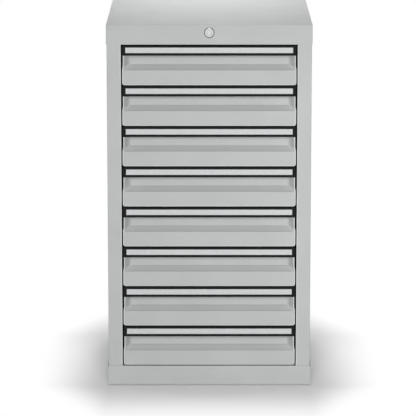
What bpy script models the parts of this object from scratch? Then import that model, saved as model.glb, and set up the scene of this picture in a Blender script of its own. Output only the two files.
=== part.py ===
"""Industrial drawer cabinet: eight equal drawers on roller runners, with one lock for all of them.

Metres, +Z up. The origin is the centre of the footprint on the floor. The drawer fronts face -Y,
and +X is to the right of someone who stands in front of them. Every object is drawn with its y
measured back from the front plane, which is the face of the stiles and of the drawer fronts.
"""

import math

import bmesh
import bpy
from mathutils import Vector

# Gaps
SEAT_GAP = 0.0003  # left between pieces that touch
RUN_GAP = 0.0006  # left beside what rolls or slides
OVERRUN = 0.005  # how far a cutter reaches past what it cuts

# Cabinet
CABINET_HEIGHT = 0.900
COVER_WIDTH = 0.500
COVER_DEPTH = 0.500
COVER_SKIRT = 0.048  # height of the cover's turned-down sides
COVER_SHEET = 0.0010
FASCIA_RETURN = 0.020  # the fascia's lower edge, turned back
PLINTH_HEIGHT = 0.050
PLINTH_SHEET = 0.0020
PLINTH_RETURN = 0.020
PANEL_SHEET = 0.0015
STILE_WIDTH = 0.0345
STILE_RETURN = 0.020
REAR_FLANGE = 0.040
BACK_SHEET = 0.0010
BACK_FLANGE = 0.015

# Drawer fronts
DRAWER_COUNT = 8
FRONT_GAP = 0.002  # between one front and the next
FRONT_SIDE_GAP = 0.0028
FRONT_SHEET = 0.0015
FRONT_RETURN = 0.020
CORNER_INSIDE = 0.0010  # inner radius of the front's lower corners
CORNER_STEPS = 3

# Finger pocket in each front
POCKET_DEPTH = 0.022
POCKET_WAIST = 0.0020  # how much the front draws in beside the pocket
MOUTH_OVERHANG = 0.0040  # how far the pocket's mouth runs past the end caps' inner faces
POCKET_END_SLANT = 0.0184  # how much narrower the pocket's back is at each end
LEDGE_DROP = 0.0613  # from the front's top to the ledge's front edge
LEDGE_RISE = 0.0119

# Handle profile, end caps and label strip
HANDLE_HEIGHT = 0.0254
HANDLE_WEB = 0.0020
HANDLE_WALL = 0.0020
HANDLE_TOP_LIP = 0.0055
HANDLE_LOWER_LIP = 0.0059
HANDLE_GRIP = 0.0042  # thickness of the lower lip
HANDLE_CHAMFER = 0.0010
HANDLE_LEG = 0.0015
CAP_WIDTH = 0.0080
CAP_DEPTH = 0.020
LABEL_RECESS = 0.0015
LABEL_SHEET = 0.0007

# Drawer box
BOX_INSET = 0.0204  # from the front's outer edge to the box's side
BOX_SHEET = 0.0010
BOX_RIM_DROP = 0.0080  # from the front's top to the box's rim
BOX_LIFT = 0.0060  # from the front's lower edge to the box's floor
BOX_REAR_INSET = 0.0016  # from the rails' rear end to the box's back

# Runners
RAIL_FRONT = 0.036
RAIL_REAR_SPACE = 0.029  # from the rails' rear end to the back panel
RAIL_HEIGHT = 0.027
RAIL_SHEET = 0.0015
RAIL_STOP = 0.0025  # thickness of the closed ends that stop the carriage
RAIL_RISE = 0.020  # from the box's floor to the middle of the rail
ROLLER_WIDTH = 0.0065
ROLLER_SIDES = 12
ROLLER_SEAT = 0.0010  # how far the rollers' ends reach into the carriage
CARRIAGE_SHEET = 0.0030
CARRIAGE_HEIGHT = 0.020
UPRIGHT_SHEET = 0.0015
UPRIGHT_DEPTH = 0.030
UPRIGHT_OVERHANG = 0.0044  # how far the rear uprights run past the rails
UPRIGHT_HEADROOM = 0.008  # from the uprights' top to the link bar

# Lock
LOCK_DROP = 0.019  # from the cover's top to the lock's axis
LOCK_SIDES = 24
RIM_RADIUS = 0.0130
RIM_FACE_RADIUS = 0.0103
RIM_THICKNESS = 0.0020
RIM_EDGE = 0.0008
SLEEVE_RADIUS = 0.0095
SLEEVE_REAR = 0.022
PLUG_RADIUS = 0.0060
PLUG_RECESS = 0.0004
KEY_WIDTH = 0.0018
KEY_HEIGHT = 0.0075
KEY_DEPTH = 0.0060
CAM_FRONT = 0.0230
CAM_SHEET = 0.0030
CAM_HUB_RADIUS = 0.0080
CAM_TIP_RADIUS = 0.0040
CAM_PIN_ANGLE = math.radians(-45)  # seen from the front, with the lock open
CAM_SCREW_RADIUS = 0.0035
CAM_SCREW_HEAD = 0.0020
PIN_RADIUS = 0.0020
PIN_SIDES = 12

# Link bar
LINK_FRONT = 0.0293
LINK_SHEET = 0.0030
LINK_RISE = 0.0010  # from the lock's axis to the bar's upper edge
LINK_HEIGHT = 0.0240
LINK_LEFT = 0.0150  # how far the bar runs to the left of the lock's axis
LINK_END = 0.0040  # from the locking bar's pin hole to the bar's right end
PIN_INSET = 0.0070  # from the bar's lower edge to the middle of that hole
GUIDE_SHEET = 0.0015
GUIDE_WIDTH = 0.012
GUIDE_LIP = 0.0030
GUIDE_SHARES = (0.25, 0.80)  # places of the two guides between the lock and the locking bar

# Locking bar
BAR_SETBACK = 0.0260
BAR_PLAY = 0.0028  # from the drawers' catches to the open bar
BAR_WIDTH = 0.0100
BAR_SHEET = 0.0030
BAR_FOOT = 0.0100  # from the plinth's top to the bar's lower end
BAR_HEAD = 0.0150  # from the bar's pin to its upper end
CATCH_DROP = 0.016  # from the box's rim to the catch
CATCH_HEIGHT = 0.006
CATCH_PLAY = 0.0016  # how far a locked drawer moves before its catch meets the bar
CATCH_FOOT = 0.030
CATCH_SHEET = 0.0020
CATCH_CLEARANCE = 0.0034  # from the catch's end to the upright
CATCH_ENGAGEMENT = 0.0050  # how far the shut bar reaches in front of the catches
STRAP_SHEET = 0.0012
STRAP_HEIGHT = 0.012
STRAP_FOOT = 0.010

# Colours as sRGB, with roughness and metallic
FINISHES = {
    "grey_powder_coat": ("BABCBB", 0.5, 0.0),
    "black_plastic": ("1E1E20", 0.45, 0.0),
    "label_card": ("D2D3D6", 0.5, 0.0),
    "zinc_plated_steel": ("A9AEB2", 0.4, 1.0),
    "roller_and_carriage": ("8F9498", 0.45, 1.0),
    "nickel": ("C9C9C6", 0.25, 1.0),
}

# Places that follow from the sizes
SKIRT_BOTTOM = CABINET_HEIGHT - COVER_SKIRT
COVER_STEP = COVER_SHEET + SEAT_GAP  # how far the cover stands outside the body
BODY_HALF = COVER_WIDTH / 2 - COVER_STEP
BODY_DEPTH = COVER_DEPTH - 2 * COVER_STEP
FRONT_PLANE = -BODY_DEPTH / 2
PANEL_BOTTOM = PLINTH_SHEET + SEAT_GAP
PANEL_TOP = CABINET_HEIGHT - COVER_STEP
OPENING_HALF = BODY_HALF - STILE_WIDTH
BACK_FACE = BODY_DEPTH - PANEL_SHEET - SEAT_GAP - BACK_SHEET

FRONT_PITCH = (SKIRT_BOTTOM - FRONT_GAP - PLINTH_HEIGHT) / DRAWER_COUNT
FRONT_HALF = OPENING_HALF - FRONT_SIDE_GAP
FRONT_HEIGHT = FRONT_PITCH - FRONT_GAP
CAP_INNER = FRONT_HALF - CAP_WIDTH
PROFILE_HALF = CAP_INNER - SEAT_GAP
HANDLE_CLEAR = HANDLE_HEIGHT + SEAT_GAP

BOX_HALF = FRONT_HALF - BOX_INSET
BOX_FRONT = POCKET_DEPTH + FRONT_SHEET + SEAT_GAP
BOX_FLOOR = BOX_LIFT - FRONT_HEIGHT

RAIL_REAR = BACK_FACE - RAIL_REAR_SPACE
RAIL_MIDDLE = BOX_FLOOR + RAIL_RISE
ROLLER_RADIUS = RAIL_HEIGHT / 2 - RAIL_SHEET - SEAT_GAP
ROLLER_MARGIN = RAIL_STOP + RUN_GAP + ROLLER_RADIUS
FRONT_AXLE = RAIL_FRONT + ROLLER_MARGIN
REAR_AXLE = RAIL_REAR - ROLLER_MARGIN
MIDDLE_AXLE = (FRONT_AXLE + REAR_AXLE) / 2
DRAWER_TRAVEL = REAR_AXLE - FRONT_AXLE

# Across the runner, from the drawer box outwards
INNER_ROLLER = BOX_HALF + RAIL_SHEET + RUN_GAP
DRAWER_RAIL_EDGE = INNER_ROLLER + ROLLER_WIDTH
CARRIAGE_INNER = DRAWER_RAIL_EDGE + SEAT_GAP
CARRIAGE_OUTER = CARRIAGE_INNER + CARRIAGE_SHEET
CABINET_RAIL_EDGE = CARRIAGE_OUTER + SEAT_GAP
OUTER_ROLLER_END = CABINET_RAIL_EDGE + ROLLER_WIDTH
UPRIGHT_INNER = OUTER_ROLLER_END + RUN_GAP + RAIL_SHEET
UPRIGHT_OUTER = BODY_HALF - PANEL_SHEET - SEAT_GAP

LOCK_HEIGHT = CABINET_HEIGHT - LOCK_DROP
LINK_BOTTOM = LOCK_HEIGHT + LINK_RISE - LINK_HEIGHT
LINK_STROKE = BAR_PLAY + CATCH_ENGAGEMENT
CAM_PIN_REACH = LINK_STROKE / (2 * math.cos(CAM_PIN_ANGLE))  # from the lock's axis to the drive pin
CATCH_FRONT = BAR_SETBACK + BAR_SHEET + CATCH_PLAY
CATCH_END = UPRIGHT_INNER - CATCH_CLEARANCE
BAR_INNER = CATCH_END + BAR_PLAY
BAR_MIDDLE = BAR_INNER + BAR_WIDTH / 2
BAR_PIN = LINK_RISE - LINK_HEIGHT + PIN_INSET  # from the lock's axis up to the pin
CATCH_BOTTOM = -BOX_RIM_DROP - CATCH_DROP - CATCH_HEIGHT
UPRIGHT_FRONT = BAR_SETBACK + BAR_SHEET + SEAT_GAP
UPRIGHT_TOP = LINK_BOTTOM - UPRIGHT_HEADROOM


# Solids

def add_prism(bm, outline, axis, start, end):
    """Adds a solid whose outline lies across an axis and runs along it from start to end.

    The outline's points are (x, y) for axis z, (x, z) for axis y and (y, z) for axis x.
    """
    along = "xyz".index(axis)
    across = [i for i in range(3) if i != along]
    rings = []
    for level in (start, end):
        ring = []
        for point in outline:
            spot = [level, level, level]
            spot[across[0]], spot[across[1]] = point
            ring.append(bm.verts.new(spot))
        rings.append(ring)
    near, far = rings
    bm.faces.new(near)
    bm.faces.new(far)
    for i in range(len(outline)):
        bm.faces.new((near[i - 1], near[i], far[i], far[i - 1]))


def add_box(bm, low, high):
    """Adds a box between two opposite corners."""
    outline = [(low[0], low[1]), (high[0], low[1]), (high[0], high[1]), (low[0], high[1])]
    add_prism(bm, outline, "z", low[2], high[2])


def add_tray(bm, low, high, walls, axis, open_end):
    """Adds a box that is open on one side: open_end is 0 at the low end of the axis, 1 at the high end."""
    along = "xyz".index(axis)
    inner_low = [a + wall for a, wall in zip(low, walls)]
    inner_high = [b - wall for b, wall in zip(high, walls)]
    if open_end:
        inner_high[along] = high[along]
    else:
        inner_low[along] = low[along]
    shells = []
    for corners in ((low, high), (inner_low, inner_high)):
        shell = {}
        for key in ((i, j, k) for i in (0, 1) for j in (0, 1) for k in (0, 1)):
            shell[key] = bm.verts.new([corners[key[n]][n] for n in range(3)])
        shells.append(shell)
    for side in range(3):
        across = [i for i in range(3) if i != side]
        for end in (0, 1):
            loop = []
            for pair in ((0, 0), (1, 0), (1, 1), (0, 1)):
                key = [end, end, end]
                key[across[0]], key[across[1]] = pair
                loop.append(tuple(key))
            if (side, end) == (along, open_end):
                for i in range(4):
                    edge = (loop[i - 1], loop[i])
                    rim = [shells[0][edge[0]], shells[0][edge[1]], shells[1][edge[1]], shells[1][edge[0]]]
                    bm.faces.new(rim)
            else:
                for shell in shells:
                    bm.faces.new([shell[key] for key in loop])


def add_turned(bm, profile, sides):
    """Adds a ring turned about the y axis from a closed profile of (radius, y) points."""
    rings = []
    for i in range(sides):
        angle = 2 * math.pi * i / sides
        rings.append([bm.verts.new((r * math.cos(angle), y, r * math.sin(angle))) for r, y in profile])
    for i in range(sides):
        for j in range(len(profile)):
            bm.faces.new((rings[i - 1][j - 1], rings[i - 1][j], rings[i][j], rings[i][j - 1]))


# Outlines

def arc(centre, radius, start, end, steps):
    """Points along an arc, both ends included, with its angles in radians."""
    points = []
    for i in range(steps + 1):
        angle = start + (end - start) * i / steps
        points.append((centre[0] + radius * math.cos(angle), centre[1] + radius * math.sin(angle)))
    return points


def circle(centre, radius, sides):
    """Points round a circle."""
    return arc(centre, radius, 0, 2 * math.pi, sides)[:-1]


def folded(path, sheet):
    """Outline of folded sheet metal: one face follows the path, and the metal lies to the path's left."""
    points = [Vector(point) for point in path]
    lefts = []
    for a, b in zip(points, points[1:]):
        way = (b - a).normalized()
        lefts.append(Vector((-way.y, way.x)))
    outline = [points[0] + lefts[0] * sheet]
    for point, before, after in zip(points[1:], lefts, lefts[1:]):
        middle = (before + after).normalized()
        outline.append(point + middle * (sheet / middle.dot(after)))
    outline.append(points[-1] + lefts[-1] * sheet)
    return [tuple(point) for point in points + outline[::-1]]


def mirrored(outline):
    """The outline on the cabinet's other side."""
    return [(-x, other) for x, other in outline]


# Objects

def clear_objects():
    for item in list(bpy.data.objects):
        bpy.data.objects.remove(item, do_unlink=True)


def mesh_from(bm, name):
    """Closes a bmesh into a mesh with its faces pointing out."""
    bmesh.ops.recalc_face_normals(bm, faces=bm.faces)
    mesh = bpy.data.meshes.new(name)
    bm.to_mesh(mesh)
    bm.free()
    return mesh


def shaded(mesh):
    """Smooth on round faces, crisp along folds and edges."""
    mesh.shade_smooth()
    mesh.set_sharp_from_angle(angle=math.radians(35))
    return mesh


def carved(bm, name, steps):
    """Mesh of a bmesh after its Boolean steps, each an (operation, bmesh) pair."""
    body = bpy.data.objects.new(name, mesh_from(bm, name))
    bpy.context.scene.collection.objects.link(body)
    tools = []
    for operation, tool_bm in steps:
        tool = bpy.data.objects.new(f"{name}_tool", mesh_from(tool_bm, f"{name}_tool"))
        tool.hide_render = True
        tool.display_type = "WIRE"
        bpy.context.scene.collection.objects.link(tool)
        modifier = body.modifiers.new(operation.title(), "BOOLEAN")
        modifier.operation = operation
        modifier.object = tool
        tools.append(tool)
    seen = body.evaluated_get(bpy.context.evaluated_depsgraph_get())
    mesh = bpy.data.meshes.new_from_object(seen)
    for item in tools + [body]:
        bpy.data.objects.remove(item, do_unlink=True)
    mesh.name = name
    return mesh


def linear(channel):
    """One sRGB channel, 0 to 1, as linear light."""
    return channel / 12.92 if channel <= 0.04045 else ((channel + 0.055) / 1.055) ** 2.4


def finish_material(name, finish):
    """A Principled material in one of the finishes."""
    code, roughness, metallic = FINISHES[finish]
    channels = [linear(int(code[i : i + 2], 16) / 255) for i in (0, 2, 4)]
    material = bpy.data.materials.new(f"{name}_{finish}")
    material.use_nodes = True
    shader = material.node_tree.nodes["Principled BSDF"]
    shader.inputs["Base Color"].default_value = (*channels, 1)
    shader.inputs["Roughness"].default_value = roughness
    shader.inputs["Metallic"].default_value = metallic
    return material


def carrier(name, location):
    """An empty that carries the pieces of one moving body."""
    empty = bpy.data.objects.new(name, None)
    empty.location = location
    bpy.context.scene.collection.objects.link(empty)
    return empty


def place(name, mesh, finish, parent):
    """Puts a mesh into the scene under its node's name, with its own material."""
    item = bpy.data.objects.new(name, mesh)
    item.parent = parent
    bpy.context.scene.collection.objects.link(item)
    if not mesh.materials:
        mesh.materials.append(None)
    item.material_slots[0].link = "OBJECT"
    item.material_slots[0].material = finish_material(name, finish)
    return item


# Cabinet body

def fold_line(half, depth, thickness, height):
    """A turned edge that starts inside the sheet it belongs to, for joining to it."""
    bm = bmesh.new()
    low = (-half, -COVER_STEP + thickness / 2, min(height))
    high = (half, depth - COVER_STEP, max(height))
    add_box(bm, low, high)
    return bm


def top_cover():
    """Lid with turned-down sides, the fascia's turned edge, the lock's hole and the link bar's guides."""
    bm = bmesh.new()
    half = COVER_WIDTH / 2
    low = (-half, -COVER_STEP, SKIRT_BOTTOM)
    high = (half, BODY_DEPTH + COVER_STEP, CABINET_HEIGHT)
    add_tray(bm, low, high, (COVER_SHEET, COVER_SHEET, COVER_SHEET), "z", 0)
    behind = LINK_FRONT + LINK_SHEET + SEAT_GAP
    ahead = LINK_FRONT - SEAT_GAP
    below = LINK_BOTTOM - SEAT_GAP
    inside_sheet = CABINET_HEIGHT - COVER_SHEET / 2
    path = [(behind, inside_sheet), (behind, below), (ahead, below), (ahead, below + GUIDE_LIP)]
    guides = bmesh.new()
    for share in GUIDE_SHARES:
        start = share * BAR_MIDDLE - GUIDE_WIDTH / 2
        add_prism(guides, folded(path, GUIDE_SHEET), "x", start, start + GUIDE_WIDTH)
    turned_edge = fold_line(
        OPENING_HALF - SEAT_GAP, FASCIA_RETURN, COVER_SHEET, (SKIRT_BOTTOM, SKIRT_BOTTOM + COVER_SHEET)
    )
    hole = bmesh.new()
    ring = circle((0, LOCK_HEIGHT), SLEEVE_RADIUS + SEAT_GAP, LOCK_SIDES)
    add_prism(hole, ring, "y", -COVER_STEP - OVERRUN, OVERRUN)
    return carved(bm, "top_cover", [("UNION", turned_edge), ("UNION", guides), ("DIFFERENCE", hole)])


def side_panel(side):
    """One side, folded round the front corner into the stile and round the rear corner into a flange."""
    path = [
        (OPENING_HALF, STILE_RETURN),
        (OPENING_HALF, 0),
        (BODY_HALF, 0),
        (BODY_HALF, BODY_DEPTH),
        (BODY_HALF - REAR_FLANGE, BODY_DEPTH),
    ]
    outline = folded(path, PANEL_SHEET)
    bm = bmesh.new()
    add_prism(bm, outline if side > 0 else mirrored(outline), "z", PANEL_BOTTOM, PANEL_TOP)
    return mesh_from(bm, "side_panel")


def back_panel():
    """The back, inside the side panels' rear flanges, with its edges turned forward."""
    rear = BACK_FACE + BACK_SHEET
    path = [
        (UPRIGHT_OUTER, rear - BACK_FLANGE),
        (UPRIGHT_OUTER, rear),
        (-UPRIGHT_OUTER, rear),
        (-UPRIGHT_OUTER, rear - BACK_FLANGE),
    ]
    bm = bmesh.new()
    add_prism(bm, folded(path, BACK_SHEET), "z", PANEL_BOTTOM, PANEL_TOP)
    return mesh_from(bm, "back_panel")


def base_plinth():
    """The tray that the body stands in. Its front edge is turned back under the lowest drawer."""
    step = PLINTH_SHEET + SEAT_GAP
    bm = bmesh.new()
    low = (-BODY_HALF - step, -step, 0)
    high = (BODY_HALF + step, BODY_DEPTH + step, PLINTH_HEIGHT)
    add_tray(bm, low, high, (PLINTH_SHEET, PLINTH_SHEET, PLINTH_SHEET), "z", 1)
    turned_edge = fold_line(
        OPENING_HALF - SEAT_GAP, PLINTH_RETURN, PLINTH_SHEET, (PLINTH_HEIGHT - PLINTH_SHEET, PLINTH_HEIGHT)
    )
    return carved(bm, "base_plinth", [("UNION", turned_edge)])


def add_rail(bm, inner, outer, walls, middle, open_end):
    """A C-shaped rail with closed ends, open towards the carriage."""
    low = (inner, RAIL_FRONT, middle - RAIL_HEIGHT / 2)
    high = (outer, RAIL_REAR, middle + RAIL_HEIGHT / 2)
    add_tray(bm, low, high, walls, "x", open_end)


def runner_frame(side):
    """Two channels that carry one side's runners, with their rails welded on."""
    uprights = bmesh.new()
    rear = RAIL_REAR + UPRIGHT_OVERHANG
    for front_face in (UPRIGHT_FRONT, rear - UPRIGHT_DEPTH):
        rear_face = front_face + UPRIGHT_DEPTH
        path = [
            (UPRIGHT_OUTER, rear_face),
            (UPRIGHT_INNER, rear_face),
            (UPRIGHT_INNER, front_face),
            (UPRIGHT_OUTER, front_face),
        ]
        outline = folded(path, UPRIGHT_SHEET)
        add_prism(uprights, outline if side > 0 else mirrored(outline), "z", PANEL_BOTTOM, UPRIGHT_TOP)
    rails = bmesh.new()
    weld = UPRIGHT_SHEET / 2
    walls = (RAIL_SHEET + weld, RAIL_STOP, RAIL_SHEET)
    for number in range(1, DRAWER_COUNT + 1):
        middle = front_top(number) + RAIL_MIDDLE
        inner, outer = sorted((side * CABINET_RAIL_EDGE, side * (UPRIGHT_INNER + weld)))
        add_rail(rails, inner, outer, walls, middle, 0 if side > 0 else 1)
    steps = [("UNION", rails)]
    if side > 0:
        steps.append(("UNION", bar_straps()))
    return carved(uprights, "runner_frame", steps)


def bar_straps():
    """The two straps on the front right upright that the locking bar slides behind."""
    bm = bmesh.new()
    seat = UPRIGHT_FRONT + UPRIGHT_SHEET / 2
    outer = BAR_INNER + BAR_WIDTH + SEAT_GAP
    inner = BAR_INNER - LINK_STROKE
    ahead = BAR_SETBACK - SEAT_GAP
    path = [
        (outer + STRAP_SHEET + STRAP_FOOT, seat),
        (outer, seat),
        (outer, ahead),
        (inner, ahead),
    ]
    for number in (1, DRAWER_COUNT - 1):
        middle = front_top(number) + CATCH_BOTTOM - FRONT_PITCH / 2
        start = middle - STRAP_HEIGHT / 2
        add_prism(bm, folded(path, STRAP_SHEET), "z", start, start + STRAP_HEIGHT)
    return bm


# Drawers, drawn from the middle of the front's upper edge

def front_top(number):
    """Height of a front's upper edge. Drawer 1 is the uppermost."""
    return PLINTH_HEIGHT + (DRAWER_COUNT + 1 - number) * FRONT_PITCH


def front_outline(inset, top):
    """The front's outline seen from the front, drawn in beside the pocket and round at its lower corners."""
    waist = FRONT_HALF - POCKET_WAIST - inset
    half = FRONT_HALF - inset
    bottom = inset - FRONT_HEIGHT
    radius = CORNER_INSIDE + FRONT_SHEET - inset
    corner = arc((half - radius, bottom + radius), radius, 0, -math.pi / 2, CORNER_STEPS)
    right = [(waist, top), (waist, LEDGE_RISE - LEDGE_DROP), (half, -LEDGE_DROP)] + corner
    return right + mirrored(right)[::-1]


def pocket(outset, front, top):
    """The finger pocket as a solid, its back, ledge and ends moved out by outset."""
    end_slope = POCKET_END_SLANT / POCKET_DEPTH
    ledge_slope = LEDGE_RISE / POCKET_DEPTH
    bm = bmesh.new()
    rings = []
    for depth in (front, POCKET_DEPTH + outset):
        half = CAP_INNER + MOUTH_OVERHANG - end_slope * depth + outset * math.hypot(1, end_slope)
        floor = ledge_slope * depth - LEDGE_DROP - outset * math.hypot(1, ledge_slope)
        loop = ((-half, floor), (half, floor), (half, top), (-half, top))
        rings.append([bm.verts.new((x, depth, z)) for x, z in loop])
    near, far = rings
    bm.faces.new(near)
    bm.faces.new(far)
    for i in range(4):
        bm.faces.new((near[i - 1], near[i], far[i], far[i - 1]))
    return bm


def drawer_front():
    """Folded front with its turned-back edges and its finger pocket, cut back round the end caps."""
    bm = bmesh.new()
    upper = -HANDLE_CLEAR / 2
    add_prism(bm, front_outline(0, upper), "y", 0, FRONT_RETURN)
    inside = bmesh.new()
    add_prism(inside, front_outline(FRONT_SHEET, upper + OVERRUN), "y", FRONT_SHEET, FRONT_RETURN + OVERRUN)
    pocket_shell = pocket(FRONT_SHEET, FRONT_SHEET / 2, -HANDLE_WEB - SEAT_GAP)
    pocket_space = pocket(0, -OVERRUN, OVERRUN)
    cap_space = bmesh.new()
    for side in (1, -1):
        ends = sorted((side * PROFILE_HALF, side * (FRONT_HALF + OVERRUN)))
        low = (ends[0], -OVERRUN, -HANDLE_CLEAR)
        high = (ends[1], BOX_FRONT + OVERRUN, OVERRUN)
        add_box(cap_space, low, high)
    steps = [
        ("DIFFERENCE", inside),
        ("UNION", pocket_shell),
        ("DIFFERENCE", pocket_space),
        ("DIFFERENCE", cap_space),
    ]
    return carved(bm, "drawer_front", steps)


def drawer_box():
    """Open sheet box behind the front, with its two rails and the catch for the locking bar welded on."""
    bm = bmesh.new()
    low = (-BOX_HALF, BOX_FRONT, BOX_FLOOR)
    high = (BOX_HALF, RAIL_REAR - BOX_REAR_INSET, -BOX_RIM_DROP)
    add_tray(bm, low, high, (BOX_SHEET, BOX_SHEET, BOX_SHEET), "z", 1)
    weld = BOX_SHEET / 2
    walls = (RAIL_SHEET + weld, RAIL_STOP, RAIL_SHEET)
    rails = bmesh.new()
    add_rail(rails, BOX_HALF - weld, DRAWER_RAIL_EDGE, walls, RAIL_MIDDLE, 1)
    add_rail(rails, -DRAWER_RAIL_EDGE, weld - BOX_HALF, walls, RAIL_MIDDLE, 0)
    catch = bmesh.new()
    path = [
        (BOX_HALF - weld, CATCH_FRONT + CATCH_FOOT),
        (BOX_HALF - weld, CATCH_FRONT),
        (CATCH_END, CATCH_FRONT),
    ]
    add_prism(catch, folded(path, CATCH_SHEET), "z", CATCH_BOTTOM, CATCH_BOTTOM + CATCH_HEIGHT)
    return carved(bm, "drawer_box", [("UNION", rails), ("UNION", catch)])


def drawer_carriage(side):
    """A bar with two rollers in the drawer's rail and two in the cabinet's rail."""
    bm = bmesh.new()
    ends = sorted((side * CARRIAGE_INNER, side * CARRIAGE_OUTER))
    low = (ends[0], FRONT_AXLE - ROLLER_RADIUS, RAIL_MIDDLE - CARRIAGE_HEIGHT / 2)
    high = (ends[1], REAR_AXLE + ROLLER_RADIUS, RAIL_MIDDLE + CARRIAGE_HEIGHT / 2)
    add_box(bm, low, high)
    rollers = bmesh.new()
    for axle in (FRONT_AXLE, MIDDLE_AXLE):
        ring = circle((axle, RAIL_MIDDLE), ROLLER_RADIUS, ROLLER_SIDES)
        add_prism(rollers, ring, "x", side * INNER_ROLLER, side * (CARRIAGE_INNER + ROLLER_SEAT))
    for axle in (MIDDLE_AXLE, REAR_AXLE):
        ring = circle((axle, RAIL_MIDDLE), ROLLER_RADIUS, ROLLER_SIDES)
        add_prism(rollers, ring, "x", side * (CARRIAGE_OUTER - ROLLER_SEAT), side * OUTER_ROLLER_END)
    return shaded(carved(bm, "drawer_carriage", [("UNION", rollers)]))


def drawer_handle():
    """Moulded handle that hooks over the pocket's back wall, solid at both ends."""
    wall_back = LABEL_RECESS + HANDLE_WALL
    leg_front = BOX_FRONT
    leg_bottom = SEAT_GAP - BOX_RIM_DROP
    recess_bottom = HANDLE_LOWER_LIP - HANDLE_HEIGHT
    outline = [
        (0, 0),
        (leg_front + HANDLE_LEG, 0),
        (leg_front + HANDLE_LEG, leg_bottom),
        (leg_front, leg_bottom),
        (leg_front, -HANDLE_WEB),
        (wall_back, -HANDLE_WEB),
        (wall_back, recess_bottom + HANDLE_CHAMFER),
        (HANDLE_GRIP, recess_bottom),
        (HANDLE_GRIP, -HANDLE_HEIGHT),
        (0, -HANDLE_HEIGHT),
        (0, recess_bottom),
        (LABEL_RECESS, recess_bottom),
        (LABEL_RECESS, -HANDLE_TOP_LIP),
        (0, -HANDLE_TOP_LIP),
    ]
    bm = bmesh.new()
    reach = CAP_INNER + CAP_WIDTH / 2
    add_prism(bm, outline, "x", -reach, reach)
    caps = bmesh.new()
    for side in (1, -1):
        ends = sorted((side * CAP_INNER, side * FRONT_HALF))
        add_box(caps, (ends[0], 0, -HANDLE_HEIGHT), (ends[1], CAP_DEPTH, 0))
    return carved(bm, "drawer_handle", [("UNION", caps)])


def drawer_label():
    """Strip in the handle profile's recess."""
    back = LABEL_RECESS - SEAT_GAP
    low = (-PROFILE_HALF, back - LABEL_SHEET, HANDLE_LOWER_LIP + SEAT_GAP - HANDLE_HEIGHT)
    high = (PROFILE_HALF, back, -HANDLE_TOP_LIP - SEAT_GAP)
    bm = bmesh.new()
    add_box(bm, low, high)
    return mesh_from(bm, "drawer_label")


# Lock, drawn from its axis

def lock_housing():
    """The lock's rim in front of the fascia and its sleeve through the hole."""
    bore = PLUG_RADIUS + SEAT_GAP
    rim_back = -COVER_STEP - SEAT_GAP
    rim_front = rim_back - RIM_THICKNESS
    profile = [
        (bore, rim_front),
        (RIM_FACE_RADIUS, rim_front),
        (RIM_RADIUS, rim_back - RIM_EDGE),
        (RIM_RADIUS, rim_back),
        (SLEEVE_RADIUS, rim_back),
        (SLEEVE_RADIUS, SLEEVE_REAR),
        (bore, SLEEVE_REAR),
    ]
    bm = bmesh.new()
    add_turned(bm, profile, LOCK_SIDES)
    return shaded(mesh_from(bm, "lock_housing"))


def lock_plug():
    """The part that the key turns, with its key slot."""
    front = -COVER_STEP - SEAT_GAP - RIM_THICKNESS + PLUG_RECESS
    bm = bmesh.new()
    add_prism(bm, circle((0, 0), PLUG_RADIUS, LOCK_SIDES), "y", front, CAM_FRONT - SEAT_GAP)
    slot = bmesh.new()
    low = (-KEY_WIDTH / 2, front - OVERRUN, -KEY_HEIGHT / 2)
    high = (KEY_WIDTH / 2, front + KEY_DEPTH, KEY_HEIGHT / 2)
    add_box(slot, low, high)
    return shaded(carved(bm, "lock_plug", [("DIFFERENCE", slot)]))


def lock_cam():
    """Arm on the plug's rear end, with the drive pin and the screw that holds it."""
    reach = CAM_PIN_REACH
    spread = math.acos((CAM_HUB_RADIUS - CAM_TIP_RADIUS) / reach)
    way = CAM_PIN_ANGLE
    tip = (reach * math.cos(way), reach * math.sin(way))
    hub = arc((0, 0), CAM_HUB_RADIUS, way + spread, way - spread + 2 * math.pi, LOCK_SIDES // 2)
    end = arc(tip, CAM_TIP_RADIUS, way - spread, way + spread, PIN_SIDES // 2)
    bm = bmesh.new()
    cam_rear = CAM_FRONT + CAM_SHEET
    add_prism(bm, hub + end, "y", CAM_FRONT, cam_rear)
    seat = CAM_FRONT + CAM_SHEET / 2
    pin_and_screw = bmesh.new()
    pin_rear = LINK_FRONT + LINK_SHEET + RUN_GAP
    add_prism(pin_and_screw, circle(tip, PIN_RADIUS, PIN_SIDES), "y", seat, pin_rear)
    screw = circle((0, 0), CAM_SCREW_RADIUS, PIN_SIDES)
    add_prism(pin_and_screw, screw, "y", seat, cam_rear + CAM_SCREW_HEAD)
    return shaded(carved(bm, "lock_cam", [("UNION", pin_and_screw)]))


def lock_link_bar():
    """Bar that the cam's pin pulls to the left. The locking bar hangs in the hole at its right end."""
    room = PIN_RADIUS + RUN_GAP
    left = -LINK_LEFT
    right = BAR_MIDDLE + room + LINK_END
    bottom = LINK_RISE - LINK_HEIGHT
    rear = LINK_FRONT + LINK_SHEET
    bm = bmesh.new()
    add_box(bm, (left, LINK_FRONT, bottom), (right, rear, LINK_RISE))
    pin_x = CAM_PIN_REACH * math.cos(CAM_PIN_ANGLE)
    pin_z = CAM_PIN_REACH * math.sin(CAM_PIN_ANGLE)
    upright_slot = bmesh.new()
    low = (pin_x - room, LINK_FRONT - OVERRUN, -CAM_PIN_REACH - room)
    high = (pin_x + room, rear + OVERRUN, pin_z + room)
    add_box(upright_slot, low, high)
    pin_hole = bmesh.new()
    ring = circle((BAR_MIDDLE, BAR_PIN), room, PIN_SIDES)
    add_prism(pin_hole, ring, "y", LINK_FRONT - OVERRUN, rear + OVERRUN)
    return carved(bm, "lock_link_bar", [("DIFFERENCE", upright_slot), ("DIFFERENCE", pin_hole)])


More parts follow.
